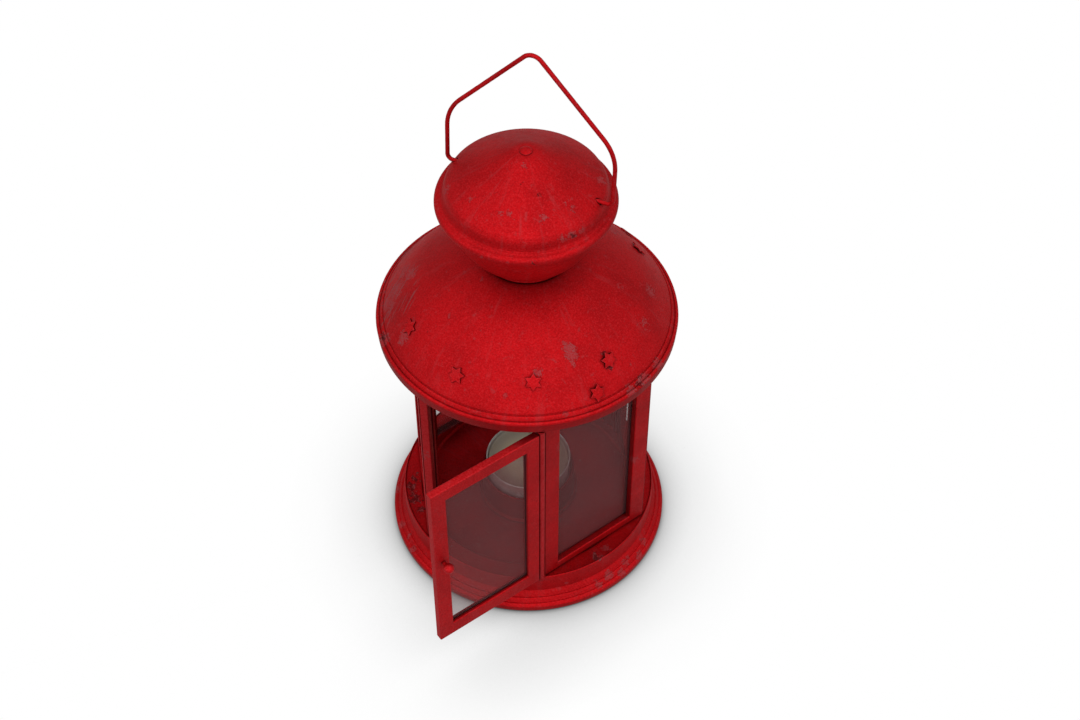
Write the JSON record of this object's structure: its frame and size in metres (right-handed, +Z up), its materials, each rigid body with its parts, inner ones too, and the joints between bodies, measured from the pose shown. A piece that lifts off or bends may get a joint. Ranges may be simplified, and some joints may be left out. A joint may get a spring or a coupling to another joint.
{
  "type": "barn lantern",
  "caption": "Six-sided red metal tealight lantern with glazed panels, an opening door, a bell roof with stars and a wire bail.",
  "frame": {"origin": "centre of the base's flat underside, on the lantern's upright axis", "axes": "+Z up; -Y is the outward normal of the doorway side; X is the bail's turning axis"},
  "size_m": [0.1212, 0.1563, 0.2535],
  "materials": {
    "red_paint": "worn satin",
    "dark_underside": "matt",
    "dusty_glass": "dusty",
    "cup_aluminium": "dull",
    "cream_wax": "waxy",
    "wick": "charred"
  },
  "bodies": {
    "lantern": {"base_plate": "dark_underside", "base_tray": "red_paint", "candle_cup": "red_paint", "cap_lid": "red_paint", "cap_rivet": "red_paint", "chimney_bowl": "red_paint", "corner_post_1": "red_paint", "corner_post_2": "red_paint", "corner_post_3": "red_paint", "corner_post_4": "red_paint", "corner_post_5": "red_paint", "corner_post_6": "red_paint", "crown_plate": "red_paint", "doorway_lintel": "red_paint", "doorway_post_left": "red_paint", "doorway_post_right": "red_paint", "hinge_ear_lower": "red_paint", "hinge_ear_upper": "red_paint", "pane_1": "dusty_glass", "pane_2": "dusty_glass", "pane_3": "dusty_glass", "pane_4": "dusty_glass", "pane_5": "dusty_glass", "panel_frame_1": "red_paint", "panel_frame_2": "red_paint", "panel_frame_3": "red_paint", "panel_frame_4": "red_paint", "panel_frame_5": "red_paint", "roof_bell": "red_paint", "roof_star_1": "red_paint", "roof_star_2": "red_paint", "roof_star_3": "red_paint", "roof_star_4": "red_paint", "roof_star_5": "red_paint", "roof_star_6": "red_paint", "roof_star_7": "red_paint"},
    "door": {"door_frame": "red_paint", "door_pane": "dusty_glass", "door_pane_bead": "red_paint", "door_hinge_rod": "red_paint", "door_knob": "red_paint"},
    "bail": {"bail_wire": "red_paint"},
    "tealight": {"tealight_cup": "cup_aluminium", "tealight_wax": "cream_wax", "tealight_wick": "wick"}
  },
  "joints": [
    {"name": "door_hinge", "type": "hinge", "parent": "lantern", "child": "door", "pos_m": [0.02675, -0.0495, 0.0198], "axis": [0, 0, 1], "range_deg": [-59, 111]},
    {"name": "bail_pivot", "type": "hinge", "parent": "lantern", "child": "bail", "pos_m": [0, 0, 0.1963], "axis": [1, 0, 0], "range_deg": [-96, 104]},
    {"name": "tealight_lift", "type": "slide", "parent": "lantern", "child": "tealight", "axis": [0, 0, 1], "range_m": [0, 0.03]}
  ]
}
